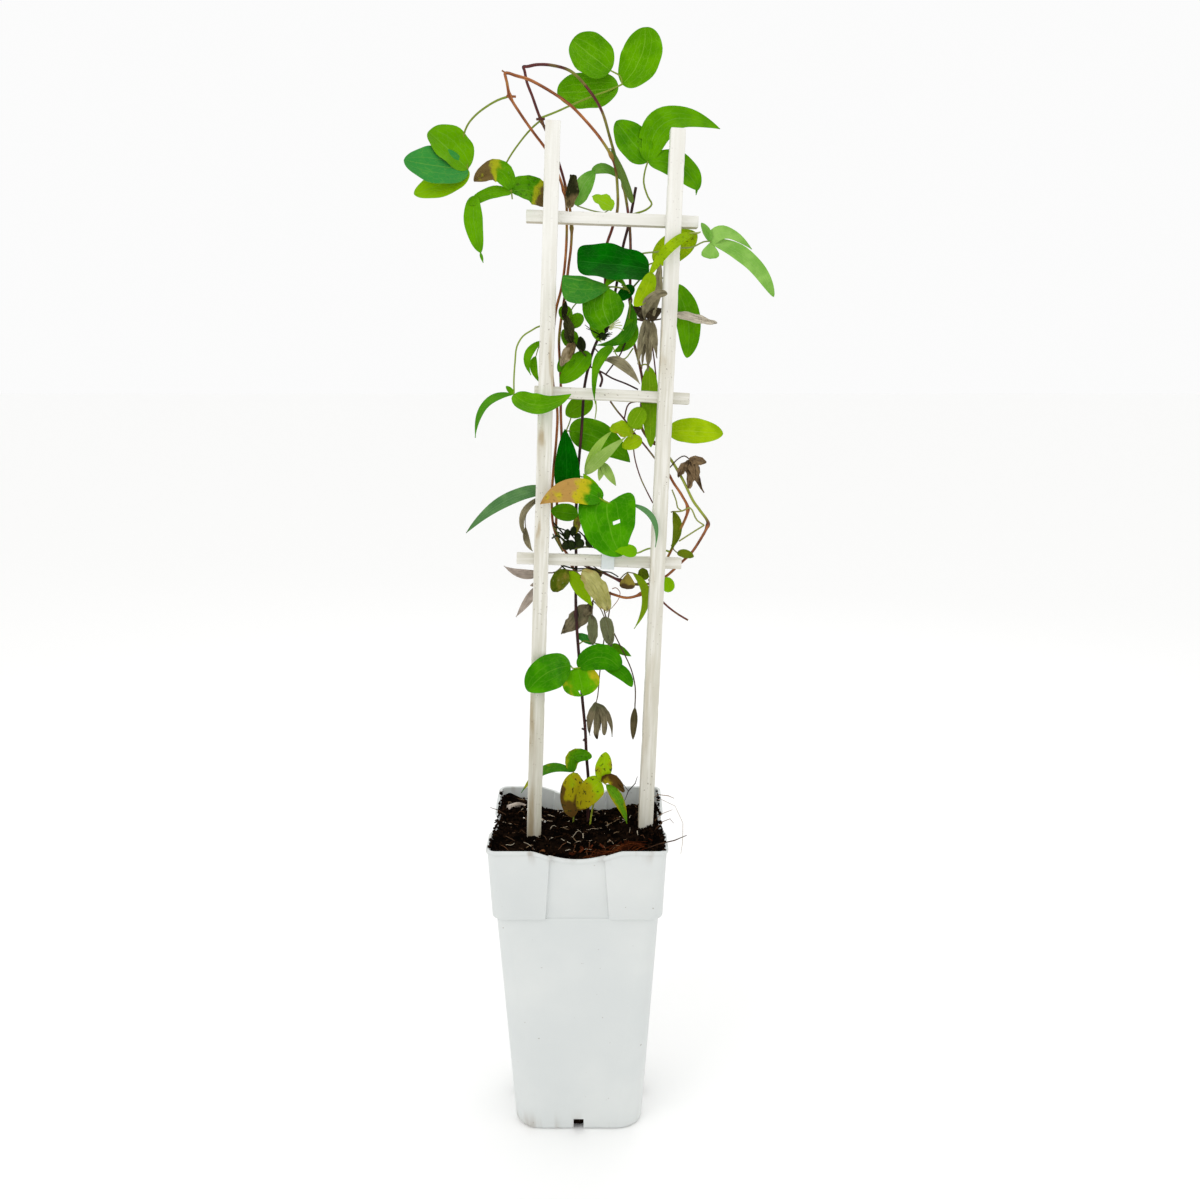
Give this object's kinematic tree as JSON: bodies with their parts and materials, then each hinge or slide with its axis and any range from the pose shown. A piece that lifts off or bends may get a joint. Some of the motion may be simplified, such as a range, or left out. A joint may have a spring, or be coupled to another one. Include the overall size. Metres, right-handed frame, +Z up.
{
  "type": "clematis plant on a trellis in a square pot",
  "caption": "Clematis climbing a small white lath trellis, with green, yellowing and dried leaves, in a tall square pale grey nursery pot filled with soil.",
  "frame": {"origin": "middle of the pot's underside, on the ground", "axes": "+Z up; -Y is the side that the picture looks at; +X to its right; the pot's sides lie square to X and Y"},
  "size_m": [0.288, 0.1462, 0.8986],
  "materials": {
    "pot_plastic": "satin",
    "peat": "matte, moist and crumbly",
    "painted_wood": "worn white paint",
    "clip_plastic": "translucent satin",
    "bark_dark": "matte",
    "stem_red": "satin",
    "leaf_light": "satin, veined",
    "leaf_mid": "satin, veined",
    "leaf_grey": "satin, veined",
    "dried_dark": "matte, dry and creased",
    "leaf_dark": "satin, veined",
    "leaf_lime": "satin, veined",
    "dried_grey": "matte, dry and creased",
    "leaf_pale": "satin, veined",
    "dried_brown": "matte, dry and creased",
    "stalk_green": "satin",
    "leaf_olive": "satin, veined",
    "leaf_blue": "satin, veined",
    "dried_pink": "matte, dry and creased",
    "leaf_bright": "satin, veined",
    "bud_black": "matte",
    "dried_beige": "matte, dry and creased",
    "petal_cream": "matte"
  },
  "bodies": {
    "root": {"pot": "pot_plastic", "soil": "peat", "stile_left": "painted_wood", "stile_right": "painted_wood", "rung_top": "painted_wood", "rung_middle": "painted_wood", "rung_low": "painted_wood", "rung_clip": "clip_plastic", "stem_main": "bark_dark", "stem_over_left": "stem_red", "stem_over_right": "stem_red", "leaf_top": "leaf_light", "leaf_upper_left": "leaf_mid", "leaf_left_withering": "leaf_mid", "leaf_upper_right": "leaf_mid", "leaf_arch_strap": "leaf_grey", "leaf_arch_narrow": "leaf_grey", "leaf_withered_lath": "dried_dark", "leaf_canopy_dark": "leaf_dark", "leaf_canopy_grey": "leaf_mid", "leaf_flower_wrap": "leaf_mid", "leaf_spotted": "leaf_lime", "leaf_outer_right": "leaf_grey", "dried_upper": "dried_grey", "leaf_right_rear": "leaf_mid", "leaves_mid_left": "leaf_mid", "dried_mid_left": "dried_dark", "leaf_twisted_front": "leaf_light", "dried_grey_mid": "dried_grey", "leaf_long_yellow": "leaf_lime", "leaf_left_outer": "leaf_light", "leaf_lath_dark": "leaf_dark", "leaf_broad_rear": "leaf_mid", "leaves_pale": "leaf_pale", "leaves_curled_yellow": "leaf_lime", "leaf_lime_right": "leaf_lime", "dried_bundle": "dried_brown", "stalks_right": "stalk_green", "leaf_right_low": "leaf_olive", "leaf_blue_long": "leaf_blue", "dried_left": "dried_grey", "dried_left_low": "dried_pink", "leaf_front_large": "leaf_bright", "leaf_lath_rear": "leaf_mid", "buds_dark": "bud_black", "leaves_below_rung": "leaf_olive", "dried_beige": "dried_beige", "leaf_low_right": "leaf_olive", "leaflet_right_low": "leaf_light", "dried_hanging": "dried_grey", "leaf_low_rear": "leaf_mid", "leaf_low_front": "leaf_bright", "flower_withered": "dried_grey", "bud_withered": "dried_brown", "leaves_base_left": "leaf_mid", "leaves_base_yellow": "leaf_lime", "flower_spent": "bud_black", "flower_filaments": "petal_cream", "stem_cut_pale": "dried_pink"}
  },
  "joints": []
}
